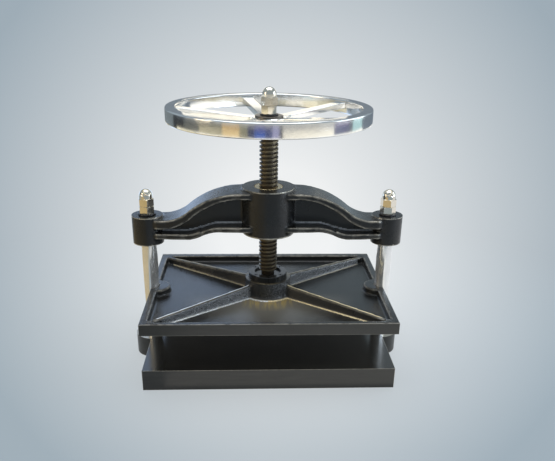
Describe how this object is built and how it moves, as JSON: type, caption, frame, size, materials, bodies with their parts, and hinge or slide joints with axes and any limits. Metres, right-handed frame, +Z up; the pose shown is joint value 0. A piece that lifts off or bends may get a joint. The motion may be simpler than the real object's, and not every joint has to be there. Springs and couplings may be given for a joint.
{
  "type": "printmaking press",
  "caption": "Cast-iron screw press: spoked handwheel and vertical screw drive a ribbed platen down two columns onto a flat bed, under an arched yoke.",
  "frame": {"origin": "centre of the bed's underside, on the surface that the press stands on", "axes": "+X to the right along the yoke, +Y to the back, +Z up along the screw"},
  "size_m": [0.546, 0.38, 0.5395],
  "materials": {
    "black_iron": "satin black paint over cast iron, worn along the edges",
    "chrome": "polished chrome plate",
    "dark_steel": "blackened steel",
    "black_steel": "satin black paint",
    "oiled_steel": "oiled, brown-tinted thread",
    "bronze": "machined bronze"
  },
  "bodies": {
    "frame": {"base_bed": "black_iron", "column_left": "chrome", "column_right": "chrome", "base_washers": "dark_steel", "base_nuts": "dark_steel", "yoke": "black_iron", "screw_nut": "bronze", "nut_set_screw": "dark_steel", "yoke_washers": "dark_steel", "yoke_hex_nuts": "chrome", "yoke_cap_nuts": "chrome"},
    "platen": {"platen": "black_iron", "thrust_pad": "bronze", "retainer_left": "black_steel", "retainer_right": "black_steel", "retainer_screws": "dark_steel"},
    "screw": {"press_screw": "oiled_steel", "handwheel": "chrome", "wheel_key": "dark_steel", "wheel_washer": "dark_steel", "wheel_hex_nut": "chrome", "wheel_cap_nut": "chrome"}
  },
  "joints": [
    {"name": "platen_travel", "type": "slide", "parent": "frame", "child": "platen", "axis": [0, 0, 1], "range_m": [-0.0812, 0.08]},
    {"name": "screw_spin", "type": "hinge", "parent": "platen", "child": "screw", "pos_m": [0, 0, 0.3], "axis": [0, 0, 1], "range_deg": [-3660, 3605]}
  ],
  "couplings": [
    {"joint": "screw_spin", "follows": "platen_travel", "rad_per_m": 785.4}
  ]
}
